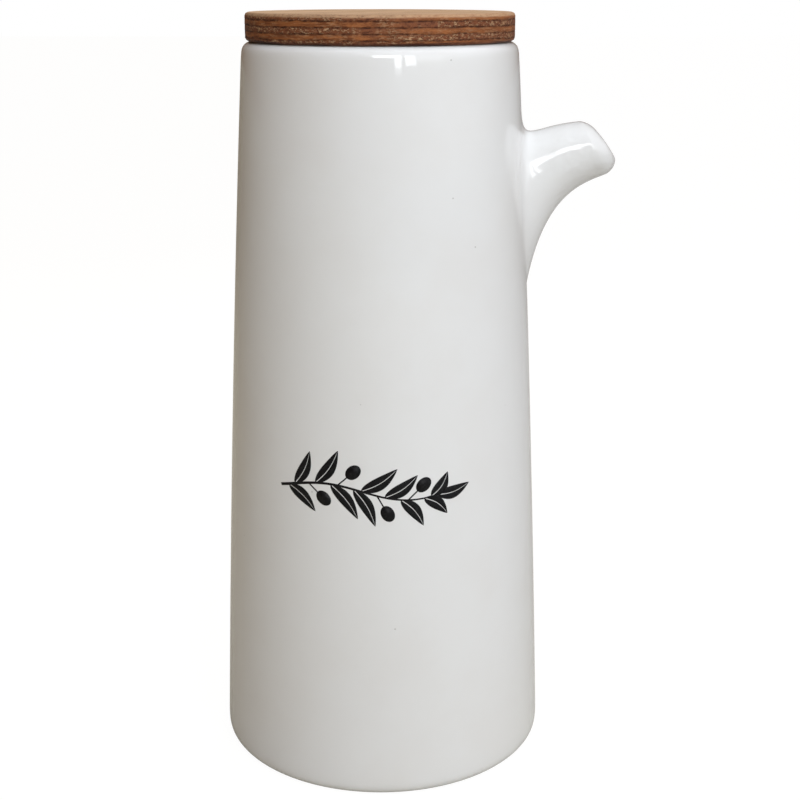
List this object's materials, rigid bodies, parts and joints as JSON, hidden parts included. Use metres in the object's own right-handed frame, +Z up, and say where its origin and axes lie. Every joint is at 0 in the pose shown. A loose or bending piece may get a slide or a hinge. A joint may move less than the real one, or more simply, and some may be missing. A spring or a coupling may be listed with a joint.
{
  "type": "oil container",
  "caption": "Tall tapered glazed ceramic oil container with a short beak spout below the rim and a round plywood lid on a sealed plug.",
  "frame": {"origin": "on the vessel's axis, in the plane of its foot", "axes": "+Z up along the vessel's axis, +X towards the spout, -Y the front, which carries the print"},
  "size_m": [0.1194, 0.1006, 0.224],
  "materials": {
    "glaze": "gloss",
    "plywood": "satin",
    "plug_wood": "matte",
    "seal": "satin"
  },
  "bodies": {
    "vessel": {"vessel": "glaze"},
    "lid": {"lid_disc": "plywood", "lid_plug": "plug_wood", "seal_ring": "seal"}
  },
  "joints": [
    {"name": "lid_lift", "type": "slide", "parent": "vessel", "child": "lid", "axis": [0, 0, 1], "range_m": [0, 0.06]}
  ]
}
